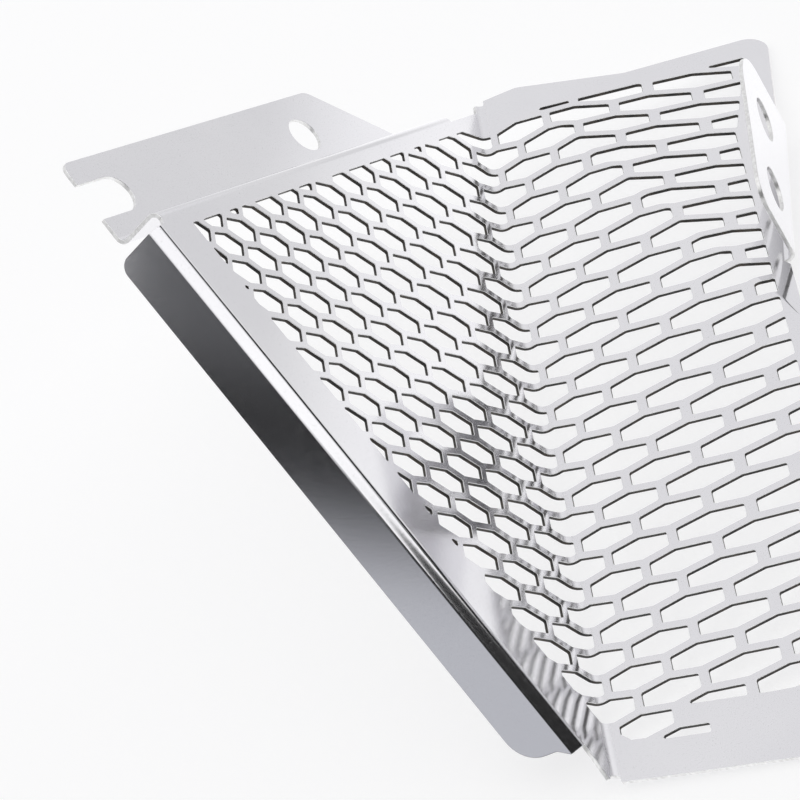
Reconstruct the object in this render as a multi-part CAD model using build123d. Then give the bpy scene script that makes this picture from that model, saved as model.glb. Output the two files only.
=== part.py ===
from build123d import *
import os
from math import asin, atan2, cos, degrees, radians, sin, tan

# Guard for a motorcycle radiator: one laser-cut sheet, pierced with stretched hexagons and folded.
# The sheet frame has X across, Y up the guard and Z out of the front face of the centre panel.
# Flat positions on the left half are measured from the left valley fold, x towards the middle.

# Sheet and bends
sheet = 1.0              # thickness
bend_radius = 1.5        # inside radius of the square folds
valley_radius = 2.0      # inside radius of the two valley folds
crease_radius = 3.0      # inside radius of the two shallow creases
relief_radius = 1.6      # round relief cut where two folds meet

# Centre panel
half_width = 95.0        # middle of the guard to each valley fold
top_height = 78.0        # pattern origin up to the top edge
bottom_depth = 130.5     # pattern origin down to the bottom edge, at the valley fold
bottom_angle = 14.0      # fall of the bottom edge towards the middle
chin_start = 52.0        # where the bottom edge turns level, from the valley fold
notch_side = 64.5        # side of the top notch, from the valley fold
notch_depth = 50.0       # pattern origin down to the floor of the notch
notch_corner = 6.0

# Side wings
valley_angle = 62.0      # each wing is folded forward by this much
wing_top_angle = 41.0    # fall of the wing's top edge
wing_side_angle = 47.0   # fall of the wing's side fold
wing_foot = 134.0        # pattern origin down to where the side fold would meet the valley
foot_width = 8.8         # plain bottom edge between side flange and valley

# Side flange, folded back square from the wing
flange_depth = 13.7
flange_start = 4.2       # from the wing's corner
flange_corner = 3.0
flange_end_corner = 8.0
flange_toe_corner = 2.0
flange_end_step = 2.5    # the lower end is cut away in a curve with this foot

# Top wall, folded back square from the wing, with the mounting tab folded out from it
tab_offset = 12.0        # tab face behind the wing face
wall_start = 4.0         # from the wing's corner
wall_length = 124.5
tab_width = 22.3
tab_length = 123.0       # along the fold
tab_corner = 2.5
tab_far_corner = 5.0
slot_width = 9.5
slot_depth = 15.0
fixing_line = 11.5       # slot and hole, from the wall
tab_hole = 9.2
tab_hole_place = 87.0    # from the tab's left edge

# Upper flaps, bent back along a slanting crease
crease_start = 10.0      # from the valley fold, on the top edge
crease_angle = 63.0      # from the top edge
crease_bend = 21.5
flap_step = 37.0         # where the flap's top edge starts to rise
flap_rise_angle = 13.6
flap_corner = 5.0
flap_side_lean = 5.0     # free edge above the ear, from upright
flap_side_set = 1.2      # free edge inside the ear fold

# Ears, folded forward from the edge of each flap, square to the centre panel
ear_place = 66.0         # ear fold from the valley fold, at the height of the pattern origin
ear_lean = 7.0           # ear fold from upright
ear_top = 42.5
ear_bottom = -7.0
ear_height = 20.5        # above the front of the centre panel
ear_top_corner = 13.0
ear_bottom_corner = 6.0
ear_hole = 10.6
ear_hole_top = 28.0
ear_hole_spacing = 22.0
ear_hole_height = 6.5    # above the front of the centre panel

# Pierced pattern
row_pitch = 6.5
cell_side = 3.6          # upright ends of each hexagon
cell_peak = 1.3          # rise of its peak
wing_cell = 11.3         # first cell on the wing
wing_taper = 0.965       # each cell outwards on the wing is this much shorter
centre_cell = 13.8       # first whole cell past the valley fold
cell_growth = 1.22       # each cell towards the middle is this much longer
first_line = 2.2         # first upright web past the valley fold
web_share = 0.135        # upright web as a share of its cell
stagger = 0.44           # shift of every second row, as a share of its cell
row_fan = 0.00025        # rows spread apart by this share for each millimetre past the valley fold
least_cell = 1.2         # smaller cut-off cells are left out, in square millimetres

# Plain margins round the pattern
wing_top_margin = 6.0
wing_side_margin = 12.5
mesh_top = 65.0          # upper limit of the pattern at the valley fold
mesh_top_angle = 10.6
mesh_right = 60.0
mesh_lean_start = 45.0   # above this height the right limit leans out
mesh_lean = 12.0
mesh_shelf = 62.0        # below this depth the pattern runs on under the notch
bottom_margin = 9.5
band_margin = 17.5       # plain band along the bottom edge
band_start = 21.0

overlap = 0.3            # cutters pass the end of a flat or bend by this much
least_piece = 0.01       # smaller slivers of a divided cell are left out, in square millimetres
touching = 1e-6          # places closer than this are one place


def heading(angle):
    return Vector(cos(radians(angle)), sin(radians(angle)), 0)


def crossing(p, angle_p, q, angle_q):
    # point where the line through p meets the line through q
    d = heading(angle_p)
    e = heading(angle_q)
    gap = Vector(*q) - Vector(*p)
    run = (gap.X * e.Y - gap.Y * e.X) / (d.X * e.Y - d.Y * e.X)
    return Vector(*p) + d * run


def outline(points):
    # closed wire through (x, y) corners, each with an optional radius
    count = len(points)
    places = [Vector(p[0], p[1], 0) for p in points]
    radii = [p[2] if len(p) > 2 else 0 for p in points]
    entries = []
    for i in range(count):
        before = (places[i - 1] - places[i]).normalized()
        after = (places[(i + 1) % count] - places[i]).normalized()
        if radii[i] == 0:
            entries.append((places[i], None, places[i]))
            continue
        half_turn = before.get_angle(after) / 2
        reach = radii[i] / tan(radians(half_turn))
        crown = radii[i] / sin(radians(half_turn)) - radii[i]
        middle = places[i] + (before + after).normalized() * crown
        entries.append((places[i] + before * reach, middle, places[i] + after * reach))
    edges = []
    for i in range(count):
        start, middle, end = entries[i]
        if middle is not None:
            edges.append(Edge.make_three_point_arc(start, middle, end))
        following = entries[(i + 1) % count][0]
        if (following - end).length > touching:
            edges.append(Edge.make_line(end, following))
    return Wire(edges)


def keep_side(cell, place, toward):
    # part of a convex cell on one side of a line
    kept = []
    for i in range(len(cell)):
        a = cell[i]
        b = cell[(i + 1) % len(cell)]
        da = (a[0] - place.X) * toward.X + (a[1] - place.Y) * toward.Y
        db = (b[0] - place.X) * toward.X + (b[1] - place.Y) * toward.Y
        if da >= 0:
            kept.append(a)
        if (da > 0 and db < 0) or (da < 0 and db > 0):
            share = da / (da - db)
            kept.append((a[0] + (b[0] - a[0]) * share, a[1] + (b[1] - a[1]) * share))
    return kept


def area(cell):
    total = 0
    for i in range(len(cell)):
        a = cell[i - 1]
        b = cell[i]
        total += a[0] * b[1] - b[0] * a[1]
    return abs(total) / 2


def cell_wire(cell):
    return Wire.make_polygon([Vector(p[0], p[1], 0) for p in cell], close=True)


def plate(plane, boundary, holes, cutters):
    # flat of the sheet, its front face on the plane, with whole holes and holes that run off its edge
    solid = Solid.extrude(plane.location * Face(boundary, holes), plane.z_dir * -sheet)
    prisms = []
    for cell in cutters:
        face = plane.offset(overlap).location * Face(cell_wire(cell))
        prisms.append(Solid.extrude(face, plane.z_dir * -(sheet + 2 * overlap)))
    return solid.cut(*prisms) if prisms else solid


def bend(foot, along, length, into, normal, angle, radius, forward):
    # bent strip on a fold line: foot and along lie on the line where the two front faces would meet,
    # into points into the first flat, normal is its front, forward folds close towards the front
    sense = 1 if forward else -1
    front = radius if forward else radius + sheet
    reach = front * tan(radians(angle / 2))
    axis = foot + into * reach + normal * (front * sense)
    spokes = []
    for share in (0, 0.5, 1):
        turn = radians(angle * share)
        spokes.append(normal * (-sense * cos(turn)) - into * sin(turn))
    rims = []
    for rim in (radius, radius + sheet):
        rims.append([axis + spoke * rim for spoke in spokes])
    edges = [
        Edge.make_three_point_arc(*rims[0]),
        Edge.make_line(rims[0][2], rims[1][2]),
        Edge.make_three_point_arc(*rims[1][::-1]),
        Edge.make_line(rims[1][0], rims[0][0]),
    ]
    return Solid.extrude(Face(Wire(edges)), along * length)


def bend_cutters(plane, angle, radius, cells):
    # holes through a bent strip, cut square to its middle; cell x runs across the fold
    squeeze = cos(radians(angle / 2))
    depth = 2 * (radius + 2 * sheet)
    prisms = []
    for cell in cells:
        face = Face(cell_wire([(p[0] * squeeze, p[1]) for p in cell]))
        prisms.append(Solid.extrude(plane.offset(-depth / 2).location * face, plane.z_dir * depth))
    return prisms


# Fold lines on the flat
valley_reach = valley_radius * tan(radians(valley_angle / 2))
square_reach = bend_radius + sheet
crease_reach = (crease_radius + sheet) * tan(radians(crease_bend / 2))
crease_heading = heading(-crease_angle)
crease_side = heading(90 - crease_angle)
crease_foot = Vector(crease_start, top_height, 0)
wing_corner = crossing((0, top_height), wing_top_angle, (0, -wing_foot), -wing_side_angle)
top_heading = heading(wing_top_angle)
top_out = heading(wing_top_angle + 90)
side_heading = heading(-wing_side_angle)
side_out = heading(-wing_side_angle - 90)


def bottom_edge(x):
    return -bottom_depth - tan(radians(bottom_angle)) * min(x, chin_start)


# Upright webs of the pattern: lines for even rows, lines for odd rows, both from the wing to the middle
def web_lines():
    even = [first_line]
    lengths = []
    length = centre_cell
    while even[-1] + length < half_width:
        lengths.append(length)
        even.append(even[-1] + length)
        length *= cell_growth
    valley_cell = (wing_cell + centre_cell) / 2
    even.insert(0, even[0] - valley_cell)
    lengths.insert(0, valley_cell)
    length = wing_cell
    while even[0] > wing_corner.X:
        even.insert(0, even[0] - length)
        lengths.insert(0, length)
        length *= wing_taper
    odd = [even[i] + stagger * lengths[i] for i in range(len(lengths))]
    return even, odd + [half_width]


def fanned(x, y):
    return x, y * (1 + row_fan * max(0, min(x, 2 * half_width - x)))


def hexagon(left, peak, right, row):
    top = -row * row_pitch
    low = top - cell_side
    corners = [(left, low), (peak, low - cell_peak), (right, low),
               (right, top), (peak, top + cell_peak), (left, top)]
    return [fanned(*p) for p in corners]


def trimmed(cell):
    # keep a cell inside the plain margins
    x = sum(p[0] for p in cell) / len(cell)
    y = sum(p[1] for p in cell) / len(cell)
    cell = keep_side(cell, wing_corner - top_out * wing_top_margin, top_out * -1)
    cell = keep_side(cell, wing_corner - side_out * wing_side_margin, side_out * -1)
    cell = keep_side(cell, Vector(0, mesh_top), heading(mesh_top_angle - 90))
    fall = bottom_angle if 0 < x < chin_start else 0
    if x > band_start:
        cell = keep_side(cell, Vector(x, bottom_edge(x) + band_margin), heading(90 - fall))
    else:
        cell = keep_side(cell, Vector(0, -bottom_depth + bottom_margin), heading(90 - fall))
    if y > mesh_lean_start:
        cell = keep_side(cell, Vector(mesh_right, mesh_lean_start), heading(180 - mesh_lean))
    elif y > -mesh_shelf:
        cell = keep_side(cell, Vector(mesh_right, 0), heading(180))
    elif x > mesh_right:
        cell = keep_side(cell, Vector(0, -mesh_shelf), heading(-90))
    return cell


def pattern():
    # cells of the left half, and the cells on the middle line
    even, odd = web_lines()
    first_row = -int(top_height / row_pitch)
    last_row = int((bottom_depth + half_width) / row_pitch)
    left_cells = []
    middle_cells = []
    for row in range(first_row, last_row + 1):
        lines = odd if row % 2 else even
        peaks = even[1:] if row % 2 else odd
        for i in range(len(lines) - 1):
            web = web_share * (lines[i + 1] - lines[i]) / 2
            left_cells.append(trimmed(hexagon(lines[i] + web, peaks[i], lines[i + 1] - web, row)))
        if row % 2 == 0:
            web = web_share * (half_width - even[-1])
            far = 2 * half_width - even[-1] - web
            cell = hexagon(even[-1] + web, half_width, far, row)
            middle_cells.append(trimmed(cell))
    keep = [cell for cell in left_cells if len(cell) > 2 and area(cell) > least_cell]
    middle = [cell for cell in middle_cells if len(cell) > 2 and area(cell) > least_cell]
    return keep, middle


def crease_distance(p):
    return (p[0] - crease_foot.X) * crease_side.X + (p[1] - crease_foot.Y) * crease_side.Y


def sort_cells(cells):
    # share the cells out between wing, centre panel and flap, and their bends
    names = ("wing", "wing_edge", "valley", "centre", "centre_edge", "crease", "flap", "flap_edge")
    parts = {name: [] for name in names}
    for cell in cells:
        xs = [p[0] for p in cell]
        gaps = [crease_distance(p) for p in cell]
        if max(xs) < -valley_reach:
            parts["wing"].append(cell)
        elif min(gaps) > crease_reach:
            parts["flap"].append(cell)
        elif min(xs) > valley_reach and max(gaps) < -crease_reach:
            parts["centre"].append(cell)
        else:
            if min(xs) < valley_reach:
                fold_start = Vector(overlap - valley_reach, 0)
                add_piece(parts["wing_edge"], keep_side(cell, fold_start, Vector(-1, 0)))
                add_piece(parts["valley"], between(cell, valley_reach))
                centre = keep_side(cell, Vector(valley_reach - overlap, 0), Vector(1, 0))
            else:
                centre = cell
            if max(gaps) > -crease_reach:
                near = crease_foot + crease_side * (overlap - crease_reach)
                far = crease_foot + crease_side * (crease_reach - overlap)
                add_piece(parts["flap_edge"], keep_side(cell, far, crease_side))
                add_piece(parts["crease"], between(turned(cell), crease_reach))
                centre = keep_side(centre, near, crease_side * -1)
            add_piece(parts["centre_edge"], centre)
    return parts


def add_piece(pieces, cell):
    if len(cell) > 2 and area(cell) > least_piece:
        pieces.append(cell)


def between(cell, reach):
    cell = keep_side(cell, Vector(-reach - overlap, 0), Vector(1, 0))
    return keep_side(cell, Vector(reach + overlap, 0), Vector(-1, 0)) if len(cell) > 2 else cell


def turned(cell):
    # cell seen with the crease upright: x across the crease, y back along it
    places = []
    for p in cell:
        run = (p[0] - crease_foot.X) * crease_heading.X + (p[1] - crease_foot.Y) * crease_heading.Y
        places.append((crease_distance(p), -run))
    return places


def mirrored(cell):
    return [(2 * half_width - p[0], p[1]) for p in reversed(cell)]


# Planes of the flats
wing_x = Vector(cos(radians(valley_angle)), 0, -sin(radians(valley_angle)))
valley_line = Vector(-half_width, 0, 0)
centre_plane = Plane(origin=valley_line, x_dir=(1, 0, 0), z_dir=(0, 0, 1))
wing_plane = Plane(origin=valley_line, x_dir=wing_x, z_dir=wing_x.cross(Vector(0, 1, 0)))
crease_axis = Axis(valley_line + crease_foot, crease_heading)
flap_plane = Plane(
    origin=valley_line + crease_foot,
    x_dir=Vector(1, 0, 0).rotate(crease_axis.reverse(), crease_bend),
    z_dir=Vector(0, 0, 1).rotate(crease_axis.reverse(), crease_bend),
)


def on_wing(p):
    return wing_plane.from_local_coords(Vector(p.X, p.Y, 0))


def wing_dir(d):
    return wing_plane.x_dir * d.X + wing_plane.y_dir * d.Y


def on_flap(p):
    q = Vector(p.X, p.Y, 0) - crease_foot
    return flap_plane.from_local_coords(q)


def flap_dir(d):
    return flap_plane.x_dir * d.X + flap_plane.y_dir * d.Y


def centre_panel(parts, middle):
    # flat centre panel between the two valley folds, with the notch in its top edge
    crease_near = crease_foot - crease_side * crease_reach
    crease_top = crossing((0, top_height), 0, (crease_near.X, crease_near.Y), -crease_angle)
    crease_low = crossing((notch_side, 0), 90, (crease_near.X, crease_near.Y), -crease_angle)
    left = [
        (chin_start, bottom_edge(chin_start)),
        (valley_reach, bottom_edge(valley_reach)),
        (valley_reach, top_height),
        (crease_top.X, crease_top.Y),
        (crease_low.X, crease_low.Y),
        (notch_side, -notch_depth, notch_corner),
    ]
    right = [(2 * half_width - p[0], *p[1:]) for p in reversed(left)]
    whole = parts["centre"] + [mirrored(cell) for cell in parts["centre"]] + middle
    edge = parts["centre_edge"] + [mirrored(cell) for cell in parts["centre_edge"]]
    return plate(centre_plane, outline(left + right), [cell_wire(cell) for cell in whole], edge)


def valley_fold(parts):
    low = bottom_edge(0) + relief_radius
    foot = valley_line + Vector(0, low, 0)
    length = top_height - relief_radius - low
    strip = bend(foot, Vector(0, 1, 0), length, Vector(1, 0, 0), Vector(0, 0, 1),
                 valley_angle, valley_radius, True)
    half = radians(valley_angle / 2)
    across = Vector(cos(half), 0, -sin(half))
    plane = Plane(origin=valley_line, x_dir=across, z_dir=across.cross(Vector(0, 1, 0)))
    return strip.cut(*bend_cutters(plane, valley_angle, valley_radius, parts["valley"]))


def wing(parts):
    top = wing_corner - top_out * square_reach
    side = wing_corner - side_out * square_reach
    corner = crossing((top.X, top.Y), wing_top_angle, (side.X, side.Y), -wing_side_angle)
    head = crossing((top.X, top.Y), wing_top_angle, (-valley_reach, 0), 90)
    ankle = crossing((side.X, side.Y), -wing_side_angle, (-foot_width, 0), 90)
    boundary = outline([
        (corner.X, corner.Y),
        (ankle.X, ankle.Y),
        (-valley_reach, bottom_edge(0)),
        (-valley_reach, head.Y),
    ])
    solid = plate(wing_plane, boundary, [cell_wire(cell) for cell in parts["wing"]], parts["wing_edge"])
    return solid.cut(fold_relief(corner))


def fold_relief(corner):
    # round cut at the wing's corner, where the two square folds end
    disc = wing_plane.offset(overlap).location * Face(Wire.make_circle(relief_radius, Plane(corner)))
    return Solid.extrude(disc, wing_plane.z_dir * -(sheet + 2 * overlap))


def side_flange():
    # flange square to the wing along its side fold, cut away in a curve at the lower end
    foot = wing_corner + side_heading * flange_start
    end = crossing((0, -wing_foot), -wing_side_angle, (-foot_width, 0), 90)
    length = (end - foot).length
    strip = bend(on_wing(foot), wing_dir(side_heading), length, wing_dir(side_out * -1),
                 wing_plane.z_dir, 90, bend_radius, False)
    plane = Plane(origin=on_wing(foot), x_dir=wing_dir(side_heading), z_dir=wing_dir(side_out))
    back = 1 if plane.y_dir.dot(wing_plane.z_dir) < 0 else -1
    shoulder = length - flange_end_step
    boundary = outline([
        (0, back * square_reach),
        (0, back * flange_depth, flange_corner),
        (shoulder - flange_end_step, back * flange_depth, flange_end_corner),
        (shoulder, back * (square_reach + flange_end_step), flange_toe_corner),
        (length, back * square_reach),
    ])
    return [strip, plate(plane, boundary, [], [])]


def top_wall():
    # wall square to the wing along its top fold, and the tab folded out from it
    foot = wing_corner + top_heading * wall_start
    along = wing_dir(top_heading)
    out = wing_dir(top_out)
    fold = bend(on_wing(foot), along, wall_length, out * -1, wing_plane.z_dir, 90, bend_radius, False)
    wall_plane = Plane(origin=on_wing(foot), x_dir=along, z_dir=out)
    back = 1 if wall_plane.y_dir.dot(wing_plane.z_dir) < 0 else -1
    wall = plate(wall_plane, outline([
        (0, back * square_reach),
        (0, back * (tab_offset - bend_radius)),
        (tab_length, back * (tab_offset - bend_radius)),
        (wall_length, back * square_reach),
    ]), [], [])
    heel = on_wing(foot) - wing_plane.z_dir * tab_offset
    hem = bend(heel, along, tab_length, wing_plane.z_dir, out, 90, bend_radius, True)
    tab_plane = Plane(origin=heel, x_dir=along, z_dir=wing_plane.z_dir)
    shoulder = tab_length - (tab_width - bend_radius) / tan(radians(wing_top_angle))
    slot = slot_width / 2
    boundary = outline([
        (0, bend_radius),
        (tab_length, bend_radius),
        (shoulder, tab_width, tab_far_corner),
        (0, tab_width, tab_corner),
        (0, fixing_line + slot),
        (slot_depth, fixing_line + slot, slot),
        (slot_depth, fixing_line - slot, slot),
        (0, fixing_line - slot),
    ])
    hole = Wire.make_circle(tab_hole / 2, Plane((tab_hole_place, fixing_line, 0)))
    return [fold, wall, hem, plate(tab_plane, boundary, [hole], [])]


def crease_fold(parts):
    low = crossing((notch_side, 0), 90, (crease_foot.X, crease_foot.Y), -crease_angle)
    length = (low - crease_foot).length
    strip = bend(valley_line + crease_foot, crease_heading, length, crease_side * -1, Vector(0, 0, 1),
                 crease_bend, crease_radius, False)
    middle = crease_side.rotate(crease_axis.reverse(), crease_bend / 2)
    plane = Plane(origin=valley_line + crease_foot, x_dir=middle, z_dir=middle.cross(crease_heading * -1))
    return strip.cut(*bend_cutters(plane, crease_bend, crease_radius, parts["crease"]))


# Ear fold: the line on the flap along which the ear, square to the centre panel, meets it
ear_line = heading(90 - ear_lean)
ear_foot = Vector(ear_place, 0, 0)
ear_upright = flap_dir(ear_line)
ear_normal = ear_upright.cross(Vector(0, 0, 1)).normalized()
ear_out = Vector(ear_line.Y, -ear_line.X, 0)
ear_angle = 90 + degrees(asin(ear_normal.dot(flap_plane.z_dir)))
ear_reach = bend_radius * tan(radians(ear_angle / 2))


def ear_fold_at(height):
    # place on the ear fold at this height of the folded guard
    run = (height - on_flap(ear_foot).Y) / ear_upright.Y
    return ear_foot + ear_line * run


def flap_tip():
    # upper inner corner of the flap, before rounding
    shoulder = ear_fold_at(ear_top) - ear_out * flap_side_set
    return crossing((flap_step, top_height), flap_rise_angle, (shoulder.X, shoulder.Y), 90 - flap_side_lean)


def flap(parts):
    far = crease_foot + crease_side * crease_reach
    top_left = crossing((0, top_height), 0, (far.X, far.Y), -crease_angle)
    neck = ear_fold_at(ear_top) - ear_out * ear_reach
    toe = ear_fold_at(ear_bottom) - ear_out * ear_reach
    hip = Vector(notch_side, toe.Y - relief_radius)
    low = crossing((notch_side, 0), 90, (far.X, far.Y), -crease_angle)
    shoulder = ear_fold_at(ear_top) - ear_out * flap_side_set
    points = [top_left, low, hip, toe, neck, shoulder, flap_tip(), Vector(flap_step, top_height)]
    radii = [0, 0, 0, 0, 0, 0, flap_corner, 0]
    boundary = outline([(p.X - crease_foot.X, p.Y - crease_foot.Y, r) for p, r in zip(points, radii)])
    shifted = [[(p[0] - crease_foot.X, p[1] - crease_foot.Y) for p in cell] for cell in parts["flap"]]
    edges = [[(p[0] - crease_foot.X, p[1] - crease_foot.Y) for p in cell] for cell in parts["flap_edge"]]
    return plate(flap_plane, boundary, [cell_wire(cell) for cell in shifted], edges)


def ear():
    top = ear_fold_at(ear_top)
    low = ear_fold_at(ear_bottom)
    foot = on_flap(low)
    length = (top - low).length
    strip = bend(foot, ear_upright, length, flap_dir(ear_out * -1), flap_plane.z_dir,
                 ear_angle, bend_radius, True)
    # ear plane: x up the guard, y out of the centre panel's front, its front face towards the valley fold
    level = Vector(0, 0, 1).cross(ear_normal)
    base = Vector(foot.X, foot.Y, 0) - level * (foot.Y / level.Y)
    plane = Plane(origin=base, x_dir=level, z_dir=ear_normal * -1)
    rise = plane.y_dir.Z
    up = ear_upright.dot(level)
    climb = ear_upright.Z / up
    lift = ear_reach / up

    def fold_height(x):
        return rise * (foot.Z + climb * (x - plane.to_local_coords(foot).X) + lift)

    x_low = plane.to_local_coords(foot).X
    x_top = plane.to_local_coords(on_flap(top)).X
    boundary = outline([
        (x_low, fold_height(x_low)),
        (x_top, fold_height(x_top)),
        (x_top, rise * ear_height, ear_top_corner),
        (x_low, rise * ear_height, ear_bottom_corner),
    ])
    holes = []
    for height in (ear_hole_top, ear_hole_top - ear_hole_spacing):
        holes.append(Wire.make_circle(ear_hole / 2, Plane((height / level.Y, rise * ear_hole_height, 0))))
    return [strip, plate(plane, boundary, holes, [])]


def folded_sheet():
    cells, middle = pattern()
    parts = sort_cells(cells)
    side = [valley_fold(parts), wing(parts), crease_fold(parts), flap(parts)]
    side += [*side_flange(), *top_wall(), *ear()]
    other = [mirror(piece, about=Plane.YZ) for piece in side]
    print("cells", 2 * len(cells) + len(middle))
    return centre_panel(parts, middle).fuse(*side, *other)


def laid_down(guard):
    # the guard rests on its back: on its chin and on the upper corners of the flaps
    chin = Vector(0, bottom_edge(chin_start), -sheet)
    tip = on_flap(flap_tip()) - flap_plane.z_dir * sheet
    tilt = degrees(atan2(tip.Z - chin.Z, tip.Y - chin.Y))
    guard = guard.rotate(Axis.X, -tilt)
    box = guard.bounding_box()
    return guard.moved(Location((0, -(box.min.Y + box.max.Y) / 2, -box.min.Z)))


os.makedirs("parts", exist_ok=True)
guard = laid_down(folded_sheet())
export_step(guard, "parts/guard_sheet.step")
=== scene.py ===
import math
import bpy
import numpy as np
from mathutils import Matrix, Vector
from mathutils.geometry import delaunay_2d_cdt


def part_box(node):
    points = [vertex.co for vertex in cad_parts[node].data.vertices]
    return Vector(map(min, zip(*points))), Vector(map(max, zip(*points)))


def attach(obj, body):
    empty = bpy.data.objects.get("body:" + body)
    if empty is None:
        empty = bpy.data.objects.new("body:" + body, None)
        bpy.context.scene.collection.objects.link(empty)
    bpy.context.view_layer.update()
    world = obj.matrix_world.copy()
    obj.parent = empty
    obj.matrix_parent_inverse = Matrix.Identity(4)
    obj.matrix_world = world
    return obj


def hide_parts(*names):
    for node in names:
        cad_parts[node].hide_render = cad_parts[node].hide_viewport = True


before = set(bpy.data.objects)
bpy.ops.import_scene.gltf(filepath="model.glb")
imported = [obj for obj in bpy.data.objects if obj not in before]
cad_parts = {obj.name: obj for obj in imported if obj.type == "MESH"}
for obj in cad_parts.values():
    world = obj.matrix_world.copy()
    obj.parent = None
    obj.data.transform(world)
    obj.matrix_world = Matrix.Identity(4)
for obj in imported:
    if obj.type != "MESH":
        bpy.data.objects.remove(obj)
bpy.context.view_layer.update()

print("stage: frame loaded")

# the folded sheet in mm and degrees, laid flat with each bend at its sharp corner:
# x runs from the left valley fold to the middle, y up, z out of the front
sheet = dict(
    thick=1.0, bendRadius=1.5, valleyRadius=2.0, creaseRadius=3.0,
    relief=1.6, reliefCorner=0.9, reliefRound=0.99, reliefClear=0.05, smallCorner=0.4,  # cuts at bend ends
    half=95.0, top=78.0, bottom=130.5, bottomAngle=14.0, chin=52.0,  # centre panel
    notchSide=64.5, notchDepth=50.0, notchCorner=6.0,
    valleyAngle=62.0, wingTop=41.0, wingSide=47.0, wingFoot=134.0, footWidth=8.8,  # wing
    flangeStart=4.2, flangeDepth=13.7, flangeCorner=3.0,  # side flange
    flangeEndCorner=8.0, flangeToe=2.0, flangeStep=2.5,
    wallStart=4.0, wallLength=124.5,  # top wall and mounting tab
    tabOffset=12.0, tabWidth=22.3, tabLength=123.0, tabCorner=2.5, tabFarCorner=5.0,
    slotWidth=9.5, slotDepth=15.0, slotLip=0.3, fixingLine=11.5, tabHole=9.2, tabHolePlace=87.0,
    creaseStart=10.0, creaseAngle=63.0, creaseBend=21.5,  # upper flap
    flapStep=37.0, flapStepCorner=4.0, flapRise=13.6, flapCorner=5.0, flapLean=5.0, flapSet=1.2,
    earPlace=66.0, earLean=7.0, earTop=42.5, earBottom=-7.0, earHeight=20.5,  # ear
    earTopCorner=13.0, earBottomCorner=6.0,
    earHole=10.6, earHoleTop=28.0, earHoleSpacing=22.0, earHoleHeight=6.5)

# the stretched hexagons of the mesh, in mm and degrees
hexes = dict(
    rowPitch=6.5, side=3.6, peak=1.3, corner=0.42, least=1.2,  # cells under the least area stay closed
    wing=11.3, taper=0.965, centre=13.8, growth=1.22, first=2.2,  # lengths, growing towards the middle
    web=0.135, stagger=0.44, fan=0.00025,  # shares of a length; the rows fan open towards the middle
    topMargin=6.0, sideMargin=12.5, top=65.0, topAngle=10.6,  # plain borders
    right=60.0, leanStart=45.0, lean=12.0, shelf=62.0, bottomMargin=9.5, bandMargin=17.5, bandStart=21.0)

# how far past its drawn ends a bend still turns the sheet, in mm
foldRoom = dict(hem=1.0, square=0.5, valley=500.0, creaseFar=1.5, creaseNear=20.0,
                earLow=0.5, earHigh=0.2, earSpread=20.0)

# how finely the surface is drawn, in mm
fineness = dict(chamfer=0.11, bendSteps=9, cellSteps=2, arcSteps=10, holeSteps=56,
                tolerance=1e-5, hair=1e-4, probe=0.02,
                cornerFill=0.998, spike=0.3, mitre=0.5,  # limits at short sides and sharp corners
                valleyRun=200.0, creaseBefore=1.0, creaseAfter=6.0)  # bend lines run past the edge


def heading(degrees):
    a = math.radians(degrees)
    return np.array([math.cos(a), math.sin(a)])


def crossing(p, angleP, q, angleQ):
    # point shared by two lines, each given by a point and a heading
    d, e = heading(angleP), heading(angleQ)
    gap = np.asarray(q, float) - np.asarray(p, float)
    return np.asarray(p, float) + d * ((gap[0] * e[1] - gap[1] * e[0]) / (d[0] * e[1] - d[1] * e[0]))


def unit(v):
    return v / np.maximum(np.linalg.norm(v, axis=-1, keepdims=True), 1e-12)


def signedArea(loop):
    # half the sum of the cross products of neighbouring points, positive anticlockwise
    after = np.roll(loop, -1, axis=0)
    return 0.5 * np.sum(loop[:, 0] * after[:, 1] - loop[:, 1] * after[:, 0])


def rounded(corners, radii, steps):
    # each corner becomes a circle arc, drawn as a rational quadratic curve with the middle
    # weight sin(half the corner angle); t runs 0 to 1 from the incoming to the outgoing side
    p = np.asarray(corners, float)
    toBack, toNext = np.roll(p, 1, axis=0) - p, np.roll(p, -1, axis=0) - p
    a, b = unit(toBack), unit(toNext)
    half = 0.5 * np.arccos(np.clip(np.sum(a * b, axis=1), -1, 1))
    reach = np.broadcast_to(np.asarray(radii, float), half.shape) / np.tan(np.maximum(half, 1e-3))
    # two corners share a side in proportion to their reach where it is too short for both
    room = np.linalg.norm(toNext, axis=1) / np.maximum(reach + np.roll(reach, -1), 1e-9)
    reach = reach * np.minimum(1, fineness["cornerFill"] * np.minimum(room, np.roll(room, 1)))
    t = np.linspace(0, 1, steps + 1)[None, :, None]
    start, end = (p + a * reach[:, None])[:, None], (p + b * reach[:, None])[:, None]
    weight = np.sin(half)[:, None, None]
    curve = ((1 - t) ** 2 * start + 2 * t * (1 - t) * weight * p[:, None] + t ** 2 * end) / (
        (1 - t) ** 2 + 2 * t * (1 - t) * weight + t ** 2)
    loop = curve.reshape(-1, 2)
    loop = loop[np.linalg.norm(loop - np.roll(loop, 1, axis=0), axis=1) > fineness["hair"]]
    return loop if signedArea(loop) > 0 else loop[::-1]


def ring(centre, radius, steps):
    # centre plus radius times (cos, sin) at equal angles
    a = np.linspace(0, 2 * np.pi, steps, endpoint=False)
    return np.asarray(centre) + radius * np.stack([np.cos(a), np.sin(a)], axis=1)


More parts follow.
